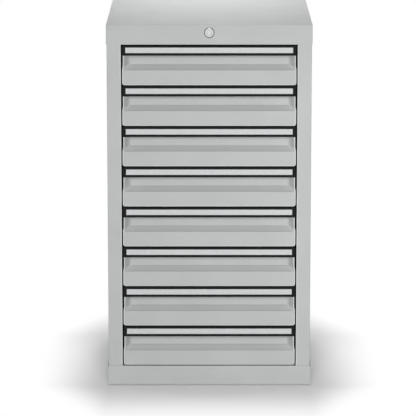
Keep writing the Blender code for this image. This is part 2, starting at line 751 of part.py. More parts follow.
def locking_bar():
    """Upright bar that hangs on the link bar by its pin and slides in front of the drawers' catches."""
    rear = BAR_SETBACK + BAR_SHEET
    bottom = PLINTH_HEIGHT + BAR_FOOT - LOCK_HEIGHT
    bm = bmesh.new()
    add_box(bm, (BAR_INNER, BAR_SETBACK, bottom), (BAR_INNER + BAR_WIDTH, rear, BAR_PIN + BAR_HEAD))
    pin = bmesh.new()
    ring = circle((BAR_MIDDLE, BAR_PIN), PIN_RADIUS, PIN_SIDES)
    add_prism(pin, ring, "y", rear - BAR_SHEET / 2, LINK_FRONT + LINK_SHEET + RUN_GAP)
    return shaded(carved(bm, "locking_bar", [("UNION", pin)]))


# The cabinet

def build():
    clear_objects()
    housing = carrier("housing", (0, FRONT_PLANE, 0))
    place("top_cover", top_cover(), "grey_powder_coat", housing)
    place("side_panel_left", side_panel(-1), "grey_powder_coat", housing)
    place("side_panel_right", side_panel(1), "grey_powder_coat", housing)
    place("back_panel", back_panel(), "grey_powder_coat", housing)
    place("base_plinth", base_plinth(), "grey_powder_coat", housing)
    place("runner_frame_left", runner_frame(-1), "zinc_plated_steel", housing)
    place("runner_frame_right", runner_frame(1), "zinc_plated_steel", housing)

    lock_place = (0, FRONT_PLANE, LOCK_HEIGHT)
    place("lock_housing", lock_housing(), "nickel", carrier("lock_seat", lock_place))
    lock_axis = carrier("lock_turn", lock_place)
    place("lock_plug", lock_plug(), "nickel", lock_axis)
    place("lock_cam", lock_cam(), "zinc_plated_steel", lock_axis)
    link_slide = carrier("lock_link_slide", lock_place)
    place("lock_link_bar", lock_link_bar(), "zinc_plated_steel", link_slide)
    place("locking_bar", locking_bar(), "zinc_plated_steel", link_slide)

    drawer_pieces = {
        "front": (drawer_front(), "grey_powder_coat"),
        "box": (drawer_box(), "grey_powder_coat"),
        "handle": (drawer_handle(), "black_plastic"),
        "label": (drawer_label(), "label_card"),
    }
    carriages = {"left": drawer_carriage(-1), "right": drawer_carriage(1)}
    for number in range(1, DRAWER_COUNT + 1):
        spot = (0, FRONT_PLANE, front_top(number))
        slide = carrier(f"drawer_{number}_slide", spot)
        for piece, (mesh, finish) in drawer_pieces.items():
            place(f"drawer_{number}_{piece}", mesh, finish, slide)
        carriage_slide = carrier(f"carriage_{number}_slide", spot)
        for side, mesh in carriages.items():
            place(f"drawer_{number}_carriage_{side}", mesh, "roller_and_carriage", carriage_slide)
    print(f"Drawer travel {DRAWER_TRAVEL:.4f}, link bar stroke {LINK_STROKE:.4f}")


build()
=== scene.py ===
# %% [markdown]
# # A steel drawer cabinet for the workshop, dressed cell by cell
#
# Each of its solids is already in its place and rides on the body that it moves with. The cells
# below keep that frame and put the finished surfaces around it: bent sheet steel, moulded handles,
# runners and the lock.
# %% Load the frame
import math

import bmesh
import bpy
import numpy as np
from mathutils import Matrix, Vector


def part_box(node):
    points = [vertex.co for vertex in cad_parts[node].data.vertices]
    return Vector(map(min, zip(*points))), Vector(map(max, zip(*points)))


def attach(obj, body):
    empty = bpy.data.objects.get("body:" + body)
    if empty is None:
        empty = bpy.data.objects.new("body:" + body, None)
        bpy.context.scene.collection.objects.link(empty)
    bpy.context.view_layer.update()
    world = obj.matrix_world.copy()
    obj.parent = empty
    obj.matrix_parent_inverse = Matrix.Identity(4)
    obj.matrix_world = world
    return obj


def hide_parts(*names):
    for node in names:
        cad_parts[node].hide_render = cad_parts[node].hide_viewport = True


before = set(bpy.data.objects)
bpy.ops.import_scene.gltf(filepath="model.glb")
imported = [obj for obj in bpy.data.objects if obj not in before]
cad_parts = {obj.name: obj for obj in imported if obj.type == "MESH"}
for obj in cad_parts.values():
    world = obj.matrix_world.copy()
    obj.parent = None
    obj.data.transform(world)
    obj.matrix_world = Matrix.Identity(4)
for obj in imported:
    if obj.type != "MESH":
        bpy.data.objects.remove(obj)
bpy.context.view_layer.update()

# %% [markdown]
# ## Places read from the frame
#
# The housing's new pieces and the lock take their places from the boxes of the solids that they stand
# for. The drawers are all alike, so each of their pieces is drawn only once, from the middle of the
# front's upper edge and with depths counted back from the face of the fronts. It is then set into
# every drawer, by the height of that drawer's own handle.
# %% Read the places
MM = 0.001
DRAWERS = range(1, 9)

cover_low, cover_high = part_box("top_cover")
plinth_low, plinth_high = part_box("base_plinth")
back_low, back_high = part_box("back_panel")
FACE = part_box("side_panel_right")[0].y
front_tops = {number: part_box(f"drawer_{number}_handle")[1].z for number in DRAWERS}


def drawer_box(piece):
    """The box of one of drawer 1's solids, as x, depth behind the fronts, and height above the top edge."""
    low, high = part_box(f"drawer_1_{piece}")
    offset = np.array((0, FACE, front_tops[1]))
    return np.array(low) - offset, np.array(high) - offset


print("Front tops:", ", ".join(f"{top:.3f}" for top in front_tops.values()))

# %% [markdown]
# ## Surfaces as grids of points
#
# A surface here is a function of two parameters, worked out with numpy for all its points at once. The
# points are kept row by row, and each face joins a point to its neighbours to the right and above. A
# grid closes into a tube when its last column joins its first again. One function puts the points
# into a mesh, closes seams where points meet, and seats the piece on its body. Weighted normals let
# the large flat faces decide the shading, so that it turns only within the narrow bends. Each point
# may also carry a share of painted highlight, from 0 to 1, on bends and ledges, kept for its material.
# %% Grids, meshes and seats
SEAM = 0.01 * MM


def grid_faces(rows, columns, tube=False, ring=False):
    """Quads over a grid: tube joins the last column to the first, and ring the last row to the first."""
    row, column = np.meshgrid(
        np.arange(rows if ring else rows - 1), np.arange(columns if tube else columns - 1), indexing="ij"
    )
    above, right = (row + 1) % rows, (column + 1) % columns
    corners = (row * columns + column, row * columns + right, above * columns + right, above * columns + column)
    return np.stack(corners, -1).reshape(-1, 4)


def make_piece(name, parts, material, body, slot, stands_for=(), sheet=0, turned_out=True, crisp=35):
    """One piece from (points, faces) parts. An open surface gets its sheet thickness inwards."""
    points, faces, painted_highlight_shares = [], [], []
    for part_points, part_faces, *part_highlight_share in parts:
        start = sum(len(block) for block in points)
        points.append(np.reshape(part_points, (-1, 3)))
        faces += [tuple(int(i) + start for i in face) for face in part_faces]
        painted_highlight_shares.append(np.ravel(part_highlight_share[0]) if part_highlight_share else np.zeros(len(points[-1])))
    mesh = bpy.data.meshes.new(name)
    mesh.from_pydata(np.concatenate(points), [], faces)
    # The 'bend' attribute holds each point's share of painted highlight.
    mesh.attributes.new("bend", "FLOAT", "POINT").data.foreach_set("value", np.concatenate(painted_highlight_shares))
    bm = bmesh.new()
    bm.from_mesh(mesh)
    bmesh.ops.remove_doubles(bm, verts=bm.verts, dist=SEAM)
    bmesh.ops.dissolve_degenerate(bm, edges=bm.edges, dist=SEAM)
    if turned_out:
        bmesh.ops.recalc_face_normals(bm, faces=bm.faces)
    bm.to_mesh(mesh)
    bm.free()
    mesh.shade_smooth()
    mesh.set_sharp_from_angle(angle=math.radians(crisp))
    mesh.materials.append(material)
    made = bpy.data.objects.new(name, mesh)
    bpy.context.scene.collection.objects.link(made)
    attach(made, body)
    if stands_for:
        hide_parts(*stands_for)
    if sheet:
        solidify = made.modifiers.new("Sheet thickness", "SOLIDIFY")
        solidify.thickness = sheet
        solidify.offset = -1
    flats = made.modifiers.new("Flats stay flat", "WEIGHTED_NORMAL")
    flats.keep_sharp = True
    return made


def at_drawer(points, number):
    """Points drawn from a front's upper edge, set into the place of one drawer."""
    return np.asarray(points) + np.array((0, FACE, front_tops[number]))


def in_every_drawer(name, parts, material, slot, stands_for=None, body="drawer", **how):
    """The same piece at each of the eight drawers, riding on that drawer or on its carriages."""
    for number in DRAWERS:
        placed = [(at_drawer(points, number), *rest) for points, *rest in parts]
        nodes = [f"drawer_{number}_{stands_for}"] if stands_for else ()
        make_piece(f"drawer_{number}_{name}", placed, material, f"{body}_{number}", slot, nodes, **how)


print(f"Points closer than {SEAM / MM:.2f} mm are joined")

# %% [markdown]
# ## Bent sheet and other profiles
#
# A press brake bends sheet steel round a nose, so a fold is never sharp: its outside has a radius of
# about one and a half sheets. The path below is a row of straight runs joined by arcs, and a strip of
# sheet follows it. Moulded strips are carried the same way, from a closed outline. Where the path turns
# fast, a point gets a share of painted highlight, so the flat runs keep the plain colour.
# %% Paths, bent sheet and carried outlines
HIGHLIGHT_GAIN = 6


def rounded(corners, radii, closed=False, steps=5):
    """Straight runs joined by arcs. An arc starts radius / tan(half the corner's angle) before the corner."""
    corners = np.asarray(corners, float)
    count = len(corners)
    radii = np.broadcast_to(radii, count)
    blend = np.linspace(0, 1, steps + 1)[:, None]
    path = []
    for i in range(count):
        if not closed and i in (0, count - 1):
            path.append(corners[i : i + 1])
            continue
        back = corners[i - 1] - corners[i]
        onward = corners[(i + 1) % count] - corners[i]
        back, onward = back / np.linalg.norm(back), onward / np.linalg.norm(onward)
        half = math.acos(np.clip(back @ onward, -1, 1)) / 2
        if radii[i] == 0:
            path.append(corners[i : i + 1])
            continue
        middle = (back + onward) / np.linalg.norm(back + onward)
        centre = corners[i] + middle * radii[i] / math.sin(half)
        start = corners[i] + back * radii[i] / math.tan(half) - centre
        end = corners[i] + onward * radii[i] / math.tan(half) - centre
        sweep = math.pi - 2 * half
        path.append(centre + (np.sin((1 - blend) * sweep) * start + np.sin(blend * sweep) * end) / math.sin(sweep))
    return np.concatenate(path)


def set_across(flat, axis, level):
    """Puts a third coordinate into an array of flat points, at one level of an axis."""
    return np.insert(flat, "xyz".index(axis), level, axis=1)


def bent_sheet(path, sheet, axis, start, end):
    """Sheet along a path: its left face is the path moved by the sheet's thickness, mitred at each turn."""
    step = np.diff(path, axis=0)
    step /= np.linalg.norm(step, axis=1, keepdims=True)
    left = np.stack([-step[:, 1], step[:, 0]], 1)
    middle = np.concatenate([left[:1], left[:-1] + left[1:], left[-1:]])
    middle /= np.linalg.norm(middle, axis=1, keepdims=True)
    along = np.sum(middle * np.concatenate([left[:1], left]), 1, keepdims=True)
    inner = path + middle * sheet / along
    corners = ((path, start), (path, end), (inner, end), (inner, start))
    points = np.stack([set_across(flat, axis, level) for flat, level in corners], 1)
    last = 4 * (len(path) - 1)
    faces = [*grid_faces(len(path), 4, tube=True), (0, 1, 2, 3), (last + 3, last + 2, last + 1, last)]
    # Where the path turns fast, each point gets a share of painted highlight.
    turning = np.abs(step[:-1, 0] * step[1:, 1] - step[:-1, 1] * step[1:, 0])
    bend = np.clip(np.concatenate([[0], turning, [0]]) * HIGHLIGHT_GAIN - 1, 0, 1)
    return points, faces, np.repeat(bend, 4)


def carried(outline, axis, start, end):
    """A closed outline carried straight along an axis, with both ends closed."""
    count = len(outline)
    points = np.stack([set_across(outline, axis, start), set_across(outline, axis, end)])
    return points, [*grid_faces(2, count, tube=True), tuple(range(count)), tuple(range(2 * count - 1, count - 1, -1))]


def turned(profile, axis, centre, sides=48, ring=False):
    """Points of (radius, place along the axis), at radius times the cosine and sine of a circle's angles.

    ring joins the last of these points to the first.
    """
    profile = np.asarray(profile, float)
    angle = 2 * math.pi * np.arange(sides) / sides
    radius = profile[:, :1]
    round_it = np.stack([radius * np.cos(angle), radius * np.sin(angle)], -1)
    points = np.insert(round_it, "xyz".index(axis), profile[:, 1:], axis=2) + np.array(centre)
    return points, grid_faces(len(profile), sides, tube=True, ring=ring)


def rounded_box(low, high, radius, steps=3):
    """A box with round edges: each eighth of a small ball is pushed out to its own corner of the box."""
    low, high = np.asarray(low, float), np.asarray(high, float)
    quarter = np.linspace(0, math.pi / 2, steps + 1)
    round_z = (quarter + np.arange(4)[:, None] * math.pi / 2).ravel()
    rise = np.concatenate([quarter - math.pi / 2, quarter])
    quadrant = np.repeat(np.arange(4), steps + 1)
    sign_x = np.where((quadrant == 0) | (quadrant == 3), 1, -1)
    sign_y = np.where(quadrant < 2, 1, -1)
    sign_z = np.repeat((-1, 1), steps + 1)[:, None]
    level, up = np.cos(rise)[:, None], np.sin(rise)[:, None]
    way = np.stack([level * np.cos(round_z), level * np.sin(round_z), up + 0 * round_z], -1)
    sign = np.stack(np.broadcast_arrays(sign_x[None], sign_y[None], sign_z), -1)
    points = (low + high) / 2 + sign * ((high - low) / 2 - radius) + way * radius
    count = len(round_z)
    lid = [len(rise) * count - count + i * (steps + 1) for i in range(4)]
    floor = [i * (steps + 1) for i in (3, 2, 1, 0)]
    return points, [*grid_faces(len(rise), count, tube=True), tuple(lid), tuple(floor)]


print("A bend of 2 mm on 1.5 mm sheet takes", len(rounded([(0, 0), (1, 0), (1, 1)], 2 * MM)), "points")

# %% [markdown]
# ## Pressed trays
#
# The lid, the plinth and the drawer boxes are all trays: one sheet with its four sides folded up or
# down. The surface is a stack of rings. Every ring is a rounded rectangle, drawn in from the outer size
# by its own amount and set at its own height, and the list of those pairs is the tray's cross-section.
# %% Trays as stacked rings
LEAST_CORNER = 0.2 * MM


def rings(half_x, half_y, centre, corner, section, cuts_x=(0, 1), cuts_y=(0, 1), steps=5):
    """Rounded rectangles, one for each (inset, height): four straight sides cut at given shares, and four arcs."""
    inset, height = np.asarray(section, float).T
    radius = np.maximum(corner - inset, LEAST_CORNER)[:, None]
    flat_x, flat_y = (half_x - inset)[:, None] - radius, (half_y - inset)[:, None] - radius
    cuts_x, cuts_y = np.asarray(cuts_x, float), np.asarray(cuts_y, float)
    turn = np.linspace(0, math.pi / 2, steps + 1)[1:-1]
    runs = []
    for quarter, (sign_x, sign_y) in enumerate(((1, 1), (-1, 1), (-1, -1), (1, -1))):
        angle = turn + quarter * math.pi / 2
        if quarter % 2 == 0:
            side = np.stack([sign_x * (flat_x + radius) + 0 * cuts_y, sign_x * flat_y * (2 * cuts_y - 1)], -1)
        else:
            side = np.stack([sign_x * flat_x * (2 * cuts_x - 1), sign_y * (flat_y + radius) + 0 * cuts_x], -1)
        arc = np.stack([sign_x * flat_x + radius * np.cos(angle), sign_y * flat_y + radius * np.sin(angle)], -1)
        runs += [side, arc]
    outline = np.concatenate(runs, 1)
    heights = np.broadcast_to(height[:, None, None], outline.shape[:2] + (1,))
    return np.concatenate([outline, heights], 2) + np.array((*centre, 0))


def tray(half_x, half_y, centre, corner, section, windows=None, **cuts):
    """A stack of rings closed by one flat face. windows picks the (row, column) cells that are cut out."""
    points = rings(half_x, half_y, centre, corner, section, **cuts)
    rows, columns = points.shape[:2]
    cells = grid_faces(rows, columns, tube=True)
    if windows is not None:
        row, column = np.divmod(np.arange(len(cells)), columns)
        cells = cells[~windows(row, column)]
    floor = tuple(range((rows - 1) * columns, rows * columns))
    return points, [*cells, floor]


print("A plain ring has", rings(1, 1, (0, 0), 2 * MM, [(0, 0)]).shape[1], "points")

# %% [markdown]
# ## One function for nodes, one for colours
#
# A material is a small graph of nodes. The function below adds a node with its own settings and joins
# its sockets, either to a plain value or to another node's output. Colours are written as they look on
# a screen, in hexadecimal, and a second function turns them into the linear light that Blender mixes.
# %% Nodes and colours


def add_node(tree, kind, sockets=None, **settings):
    """A node with its settings. Each socket gets a value, or a link where it is given an output."""
    made = tree.nodes.new(kind)
    for name, value in settings.items():
        setattr(made, name, value)
    for name, value in (sockets or {}).items():
        if isinstance(value, bpy.types.NodeSocket):
            tree.links.new(value, made.inputs[name])
        else:
            made.inputs[name].default_value = value
    return made


def from_hex(code):
    """Linear colour of an sRGB hex code: each channel is divided by 12.92 or put through the 2.4 power."""
    channel = np.array([int(code[i : i + 2], 16) for i in (0, 2, 4)]) / 255
    light = np.where(channel <= 0.04045, channel / 12.92, ((channel + 0.055) / 1.055) ** 2.4)
    return (*light.tolist(), 1.0)


def new_material(name):
    """A material with no nodes yet, its tree, and the object's own place in metres as the pattern space."""
    material = bpy.data.materials.new(name)
    material.use_nodes = True
    tree = material.node_tree
    tree.nodes.clear()
    place = add_node(tree, "ShaderNodeTexCoord").outputs["Object"]
    return material, tree, place


def finish_with(tree, shader):
    """Joins the shader to the material's output."""
    add_node(tree, "ShaderNodeOutputMaterial", {"Surface": shader.outputs[0]})


def mottle(tree, place, size, low, high, detail=2.0):
    """Noise whose grains are about one size across, spread between two values."""
    noise = add_node(tree, "ShaderNodeTexNoise", {"Vector": place, "Scale": 1 / size, "Detail": detail})
    spread = {"Value": noise.outputs["Fac"], "From Min": 0.3, "From Max": 0.7, "To Min": low, "To Max": high}
    return add_node(tree, "ShaderNodeMapRange", spread).outputs["Result"]


def tint(tree, amount, dark, light):
    """A colour between two hex codes, by an amount from 0 to 1."""
    ramp = add_node(
        tree, "ShaderNodeMix", {"Factor": amount, "A": from_hex(dark), "B": from_hex(light)}, data_type="RGBA"
    )
    return ramp.outputs["Result"]


print(f"Middle grey 808080 is {from_hex('808080')[0]:.3f} in linear light")

# %% [markdown]
# ## Powder coat
#
# The body and the drawers are powder-coated sheet steel. The powder melts in an oven and flows out almost
# level, but not quite: it keeps a shallow orange peel, with waves about 2 mm long. That breaks up the
# reflections and gives a soft satin look. The waves are drawn at 3 mm so that they still show. The
# narrow bends are drawn lighter in colour. This is a painted highlight, where the bends catch light.
# %% Powder coat
PEEL = 3 * MM
CLOUD = 90 * MM
SHEEN_PATCH = 12 * MM


def powder_coat(name, dark, light, painted_highlight):
    """Satin polyester powder coat: IOR 1.5, roughness near 0.6, a faint cloudiness, orange peel, and a painted
    highlight colour mixed in by the 'bend' attribute.
    """
    material, tree, place = new_material(name)
    colour = tint(tree, mottle(tree, place, CLOUD, 0.0, 1.0), dark, light)
    # Painted highlight: the 'bend' attribute mixes the lighter colour into bends and the pocket's ledge.
    bend = add_node(tree, "ShaderNodeAttribute", attribute_name="bend").outputs["Fac"]
    colour = add_node(
        tree, "ShaderNodeMix", {"Factor": bend, "A": colour, "B": from_hex(painted_highlight)}, data_type="RGBA"
    ).outputs["Result"]
    roughness = mottle(tree, place, SHEEN_PATCH, 0.54, 0.66)
    peel = mottle(tree, place, PEEL, 0.0, 1.0, detail=1.0)
    bump = add_node(tree, "ShaderNodeBump", {"Height": peel, "Strength": 0.10, "Distance": 0.2 * MM})
    sockets = {"Base Color": colour, "Roughness": roughness, "IOR": 1.5, "Specular IOR Level": 0.2}
    shader = add_node(tree, "ShaderNodeBsdfPrincipled", {**sockets, "Normal": bump.outputs["Normal"]})
    finish_with(tree, shader)
    return material


# It gives an even light grey with soft, wide highlights and no mirror image anywhere. E2E4E3 is the painted highlight
# colour for bends and ledges.
grey_coat = powder_coat("Light grey powder coat", "BABCBB", "BEC0BF", "E2E4E3")
print(f"{grey_coat.name}: orange peel drawn at {PEEL / MM:.0f} mm, cloudiness at {CLOUD / MM:.0f} mm")

# %% [markdown]
# ## Moulded plastic, label strip and plated metals
#
# The handle strips are black ABS with a fine spark-eroded texture. The label strip is pale card behind a
# clear film, so its shader gets a smooth coat over a matt base. The runners are zinc-plated steel, drawn
# along their length, and the lock is nickel on a turned die casting, polished on its flat faces. Its bevel
# is rougher and painted darker, a painted reflection of dark surroundings. A near-black metal is painted
# shade for the steel behind the gaps. An eroded mould's grain and a drawn metal's lines are about a tenth
# of a millimetre wide, too fine to show here, so both are drawn at 1.5 mm.
# %% Plastics and metals
ABS_CLOUD = 8 * MM
ABS_SHEEN = 5 * MM
GRAIN = 1.5 * MM
FLECK = 6 * MM
DRAWN_LINE = 1.5 * MM
DRAWN_SHEEN = 4 * MM


def moulded_abs(name, dark, light):
    """Injection-moulded ABS: IOR 1.54, roughness near 0.6, with the grain of an eroded mould as bump."""
    material, tree, place = new_material(name)
    colour = tint(tree, mottle(tree, place, ABS_CLOUD, 0.0, 1.0), dark, light)
    grain = mottle(tree, place, GRAIN, 0.0, 1.0)
    bump = add_node(tree, "ShaderNodeBump", {"Height": grain, "Strength": 0.2, "Distance": 0.1 * MM})
    roughness = mottle(tree, place, ABS_SHEEN, 0.58, 0.68)
    sockets = {"Base Color": colour, "Roughness": roughness, "IOR": 1.54, "Specular IOR Level": 0.15}
    shader = add_node(tree, "ShaderNodeBsdfPrincipled", {**sockets, "Normal": bump.outputs["Normal"]})
    finish_with(tree, shader)
    return material


def filmed_card(name, dark, light):
    """Card behind clear film: the fibres show as a faint fleck, and the film is a coat of IOR 1.49."""
    material, tree, place = new_material(name)
    colour = tint(tree, mottle(tree, place, FLECK, 0.0, 1.0, detail=6.0), dark, light)
    shader = add_node(
        tree,
        "ShaderNodeBsdfPrincipled",
        {"Base Color": colour, "Roughness": 0.6, "Coat Weight": 1.0, "Coat Roughness": 0.12, "Coat IOR": 1.49},
    )
    finish_with(tree, shader)
    return material


def drawn_metal(name, dark, light, low, high, stretch):
    """Metal with noise on its colour and roughness, drawn out along y by 1 / stretch. At 1 it has no direction."""
    material, tree, place = new_material(name)
    squeezed = add_node(tree, "ShaderNodeMapping", {"Vector": place, "Scale": (1, stretch, 1)}).outputs["Vector"]
    lines = mottle(tree, squeezed, DRAWN_LINE, 0.0, 1.0)
    colour = tint(tree, lines, dark, light)
    roughness = mottle(tree, squeezed, DRAWN_SHEEN, low, high)
    bump = add_node(tree, "ShaderNodeBump", {"Height": lines, "Strength": 0.08, "Distance": 0.05 * MM})
    sockets = {"Base Color": colour, "Roughness": roughness, "Metallic": 1.0}
    shader = add_node(tree, "ShaderNodeBsdfPrincipled", {**sockets, "Normal": bump.outputs["Normal"]})
    finish_with(tree, shader)
    return material


# An eroded mould leaves a dull skin: the strips read as an even, soft black with hardly any shine.
black_abs = moulded_abs("Black moulded ABS", "141515", "1A1B1B")
# The film lays one clear, thin sheen over a pale strip that stays matt below it.
label_card = filmed_card("Pale card behind clear film", "C5C6C7", "CCCDCE")
# Drawing leaves lines along the runners, so their bluish grey breaks into fine light streaks.
zinc_plate = drawn_metal("Zinc-plated steel", "A3A9AF", "BCC2C6", 0.32, 0.46, 0.05)
# Ground rollers are the smoothest steel here and show narrow, bright glints.
roller_steel = drawn_metal("Hardened roller steel", "9A9DA0", "B4B7B9", 0.2, 0.3, 1.0)
# Polish mirrors the white room, so the lock's disc and barrel look almost white.
bright_nickel = drawn_metal("Polished nickel plate", "D8DADA", "E3E5E5", 0.14, 0.22, 1.0)
# Painted reflection: the bevel's nickel is painted darker, as if it mirrored dark surroundings, and is rougher, so it
# stays a dull grey ring round the bright disc.
dark_reflection_nickel = drawn_metal("Rough nickel painted dark", "7C7E7D", "8E908F", 0.42, 0.55, 1.0)
# Painted shade: near-black metal behind the gaps beside the fronts stands for the shade deep in them.
gap_shade_black = drawn_metal("Near-black painted shade", "161718", "202122", 0.45, 0.6, 0.05)
print("Materials:", ", ".join(sorted(material.name for material in bpy.data.materials)))

# %% [markdown]
# ## The camera
#
# The photograph looks straight at the fronts from a little above, so the lid shows as a narrow band.
# The camera stands far back with a long lens, which keeps the sides nearly parallel. It looks down at a
# point in the middle of the picture, so that views from other sides stay centred as well.
# %% Camera
EYE_DISTANCE = 6.5
EYE_RISE = 0.87
EYE_SIDE = -3 * MM
AIM_HEIGHT = 0.4485
LENS = 234.5
SIGHT_END = 60

eye = np.array((EYE_SIDE, FACE - EYE_DISTANCE, cover_high.z + EYE_RISE))
camera = bpy.data.objects.new("Camera", bpy.data.cameras.new("Camera"))
camera.data.lens = LENS
camera.data.clip_end = SIGHT_END
bpy.context.scene.collection.objects.link(camera)
camera.location = eye
pitch = math.atan2(eye[2] - AIM_HEIGHT, EYE_DISTANCE)
camera.rotation_euler = (math.pi / 2 - pitch, 0, 0)
bpy.context.scene.camera = camera
bpy.context.scene.view_settings.view_transform = "Standard"
print(f"The camera looks down by {math.degrees(pitch):.1f} degrees")

# %% [markdown]
# ## Background and floor
#
# The picture is a studio shot on white. Light Path tells the camera's rays from the rays that light the
# cabinet, so the world is plain white to look at and a weaker, even light otherwise. The floor is pale
# grey to the light that it throws back on the cabinet. To the camera and in reflections it is almost
# white, keeps the cabinet's shadow near the foot, and fades into the white background further out, so
# the soft outer edge of the shadow is partly this fade.
# %% World and floor
WORLD_LIGHT = 0.12
FLOOR_HALF = 30.0
FLOOR_DROP = 0.2 * MM
FLOOR_GREY = 0.65
FLOOR_SEEN = 0.96
FADE_BESIDE = 0.186
FADE_BEFORE = 0.36


def background_ray(tree):
    """1 for the rays that show the background: the camera's own, reflected ones, and those seen through glass."""
    path = add_node(tree, "ShaderNodeLightPath").outputs
    seen = path["Is Camera Ray"]
    for kind in ("Is Glossy Ray", "Is Transmission Ray"):
        seen = add_node(tree, "ShaderNodeMath", {0: seen, 1: path[kind]}, operation="MAXIMUM").outputs[0]
    return seen


def white_world():
    """Even light from all round, seen as plain white by the camera and in reflections."""
    world = bpy.data.worlds.new("Studio")
    world.use_nodes = True
    tree = world.node_tree
    tree.nodes.clear()
    strength = {"Value": background_ray(tree), "To Min": WORLD_LIGHT, "To Max": 1.0}
    level = add_node(tree, "ShaderNodeMapRange", strength).outputs["Result"]
    back = add_node(tree, "ShaderNodeBackground", {"Color": (1, 1, 1, 1), "Strength": level})
    add_node(tree, "ShaderNodeOutputWorld", {"Surface": back.outputs[0]})
    bpy.context.scene.world = world


def pale_floor():
    """A wide floor just under the cabinet. It is white where the gaps from the foot, each over its reach, make 1."""
    corners = np.array([(-1, -1), (1, -1), (1, 1), (-1, 1)]) * FLOOR_HALF
    mesh = bpy.data.meshes.new("Floor")
    mesh.from_pydata(set_across(corners, "z", -FLOOR_DROP), [], [(0, 1, 2, 3)])
    material, tree, place = new_material("Studio floor")
    seen_ray = background_ray(tree)
    beyond = add_node(tree, "ShaderNodeVectorMath", {0: place}, operation="ABSOLUTE").outputs[0]
    beyond = add_node(
        tree, "ShaderNodeVectorMath", {0: beyond, 1: (plinth_high.x, plinth_high.y, 1)}, operation="SUBTRACT"
    ).outputs[0]
    beyond = add_node(tree, "ShaderNodeVectorMath", {0: beyond, 1: (0, 0, 0)}, operation="MAXIMUM").outputs[0]
    reaches = (1 / FADE_BESIDE, 1 / FADE_BEFORE, 0)
    gap = add_node(tree, "ShaderNodeVectorMath", {0: beyond, 1: reaches}, operation="DOT_PRODUCT").outputs["Value"]
    fade = add_node(tree, "ShaderNodeMapRange", {"Value": gap}, interpolation_type="SMOOTHSTEP").outputs["Result"]
    part = add_node(tree, "ShaderNodeMath", {0: fade, 1: seen_ray}, operation="MULTIPLY").outputs[0]
    level = {"Value": seen_ray, "To Min": FLOOR_GREY, "To Max": FLOOR_SEEN}
    colour = add_node(tree, "ShaderNodeMapRange", level)
    matt = add_node(tree, "ShaderNodeBsdfDiffuse", {"Color": colour.outputs["Result"]})
    white = add_node(tree, "ShaderNodeEmission", {"Color": (1, 1, 1, 1), "Strength": 1.0})
    finish_with(tree, add_node(tree, "ShaderNodeMixShader", {0: part, 1: matt.outputs[0], 2: white.outputs[0]}))
    mesh.materials.append(material)
    floor = bpy.data.objects.new("Floor", mesh)
    bpy.context.scene.collection.objects.link(floor)


white_world()
pale_floor()
print(f"The floor is white from {FADE_BESIDE / MM:.0f} mm beside the cabinet and {FADE_BEFORE / MM:.0f} mm before it")

# %% [markdown]
# ## Lamps
#
# A high lamp gives the short shadow round the base. A large soft lamp straight ahead lights the fronts,
# so the slanted ends of the pockets stay darker on both sides alike. A weak spot, aimed to the right of
# the middle, makes that side a little lighter, and a lamp behind the lid lightens its rear edge. Low
# lamps at both sides and behind light the other faces. They stand behind the plane of the fronts, so
# that they leave the pockets and the front's own shading alone.
# %% Lamps


def lamp(name, kind, place, aim, size, power, **settings):
    """A soft lamp that faces a point.

    White card d metres from an area lamp gets as bright as the power over (pi d) squared, from a spot a quarter.
    """
    light = bpy.data.lights.new(name, kind)
    setattr(light, "size" if kind == "AREA" else "shadow_soft_size", size)
    light.energy = power
    for key, value in settings.items():
        setattr(light, key, value)
    item = bpy.data.objects.new(name, light)
    item.visible_camera = False
    item.visible_glossy = False
    bpy.context.scene.collection.objects.link(item)
    item.location = place
    away = np.array(place, float) - np.array(aim, float)
    flat = math.hypot(away[0], away[1])
    item.rotation_euler = (math.atan2(flat, away[2]), 0, math.atan2(away[0], -away[1]) if flat else 0)


lamp("Lamp above", "AREA", (0, 0.5, 8), (0, 0, 0), 2.4, 98)
lamp("Lamp in front", "AREA", (0, -8.0, 2.5), (0, FACE, 0.45), 3.8, 482)
lamp(
    "Spot on the right",
    "SPOT",
    (0.3, -6.25, 0.9),
    (0.62, FACE, 0.5),
    0.3,
    230,
    spot_size=math.radians(16),
    spot_blend=1.0,
)
lamp("Lamp behind the lid", "AREA", (0, 1.0, 1.5), (0, 0.1, 0.9), 0.5, 2.7, spread=math.radians(80))
lamp("Lamp on the left", "AREA", (-4.4, 2.2, 0.6), (0, 0.1, 0.5), 1.1, 78)
lamp("Lamp on the right", "AREA", (4.4, 2.2, 0.6), (0, 0.1, 0.5), 1.1, 78)
lamp("Lamp behind", "AREA", (0, 5, 0.6), (0, 0, 0.5), 1.1, 30)
print("; ".join(f"{light.name} {light.energy:.1f} W" for light in bpy.data.lights))

# %% [markdown]
# ## The lid
#
# The lid is one sheet, a millimetre thick, with its edges folded down all round. Its front edge carries
# the fascia, with a hole for the lock, and is turned back again above the first drawer. Its section is
# written as rings from the lower edge, round the fold and over the top, and Solidify gives the thickness.
# A turned-back edge is its own strip. It is tucked half a millimetre into the fold that it belongs to, and
# set a hair off its neighbours, because two faces in one plane would flicker.
# %% Lid
LID_SHEET = 1 * MM
LID_BEND = 1.6 * MM
LID_CORNER = 2.2 * MM
FASCIA_RETURN = 20 * MM
FASCIA_CELL = 18
LOCK_HOLE = 9.8 * MM
OPENING_HALF = 214.2 * MM
RETURN_HALF = OPENING_HALF - 0.3 * MM
TUCK = 0.5 * MM
HAIR = 0.02 * MM


def fold_section(bottom, top, bend, steps=5):
    """Inset and height from a side's free edge, round the fold and onto the flat.

    At each angle of the fold the inset is bend times 1 - cos, and the drop below the top bend times 1 - sin.
    """
    turn = np.linspace(0, math.pi / 2, steps + 1)
    fold = np.stack([bend * (1 - np.cos(turn)), top - bend * (1 - np.sin(turn))], 1)
    return np.concatenate([[(0, bottom)], fold])


